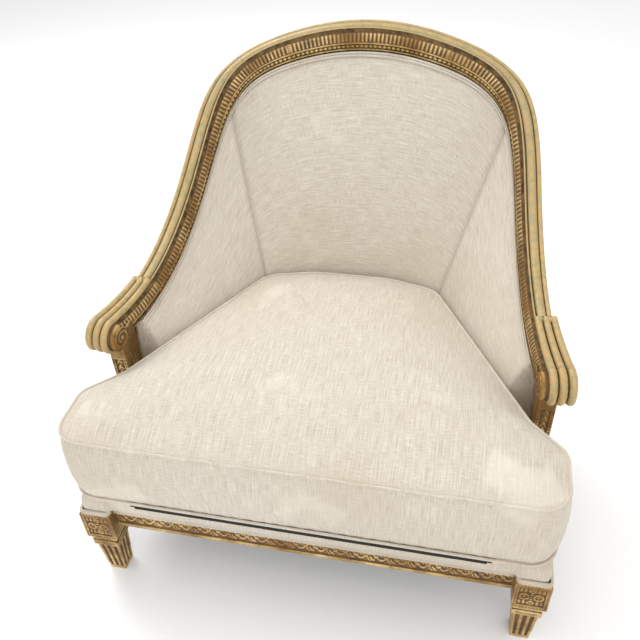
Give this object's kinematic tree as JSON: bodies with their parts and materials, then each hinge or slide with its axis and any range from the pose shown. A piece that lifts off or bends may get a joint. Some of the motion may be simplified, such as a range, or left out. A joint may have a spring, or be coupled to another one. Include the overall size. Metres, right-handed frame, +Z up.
{
  "type": "bergere armchair",
  "caption": "Low barrel-backed bergere chair in carved, painted and gilded wood, with a close-upholstered back and arms and a loose T-shaped seat cushion.",
  "frame": {"origin": "on the floor, under the middle of the chair's overall width and depth", "axes": "+Z up, +Y towards the back of the chair, +X to the right of someone who faces its front"},
  "size_m": [0.794, 0.7499, 0.7889],
  "materials": {
    "painted_gilt_wood": "celery paint with parcel gilding, worn",
    "frame_wood": "raw beech",
    "screw_steel": "plain",
    "jute": "jute webbing, hessian and black bottoming cloth",
    "stuffing": "curled hair and wadding",
    "linen": "beige linen with slubs"
  },
  "bodies": {
    "chair_frame": {"crest_rail": "painted_gilt_wood", "shoulder_rail_left": "painted_gilt_wood", "shoulder_rail_right": "painted_gilt_wood", "arm_rail_left": "painted_gilt_wood", "arm_rail_right": "painted_gilt_wood", "front_leg_left": "painted_gilt_wood", "front_leg_right": "painted_gilt_wood", "arm_post_left": "painted_gilt_wood", "arm_post_right": "painted_gilt_wood", "front_seat_rail": "painted_gilt_wood", "side_seat_rail_left": "painted_gilt_wood", "side_seat_rail_right": "painted_gilt_wood", "rear_seat_rail": "painted_gilt_wood", "rear_leg_left": "painted_gilt_wood", "rear_leg_right": "painted_gilt_wood", "front_corner_brace_left": "frame_wood", "front_corner_brace_right": "frame_wood", "rear_corner_brace_left": "frame_wood", "rear_corner_brace_right": "frame_wood", "frame_dowels": "frame_wood", "brace_screws": "screw_steel", "seat_webbing": "jute", "seat_hessian": "jute", "dust_cover": "jute", "inside_back_hessian": "jute", "inside_arm_hessian_left": "jute", "inside_arm_hessian_right": "jute", "back_webbing": "jute", "deck_stuffing": "stuffing", "inside_back_stuffing": "stuffing", "inside_arm_stuffing_left": "stuffing", "inside_arm_stuffing_right": "stuffing", "deck_cover": "linen", "inside_back_cover": "linen", "inside_arm_cover_left": "linen", "inside_arm_cover_right": "linen", "outside_back_cover": "linen", "outside_arm_cover_left": "linen", "outside_arm_cover_right": "linen", "back_double_welt": "linen", "rail_double_welt": "linen"},
    "seat_cushion": {"cushion_core": "stuffing", "cushion_cover": "linen", "cushion_top_piping": "linen", "cushion_bottom_piping": "linen"}
  },
  "joints": [
    {"name": "seat_cushion_lift", "type": "slide", "parent": "chair_frame", "child": "seat_cushion", "axis": [0, 0, 1], "range_m": [0, 0.57]}
  ]
}
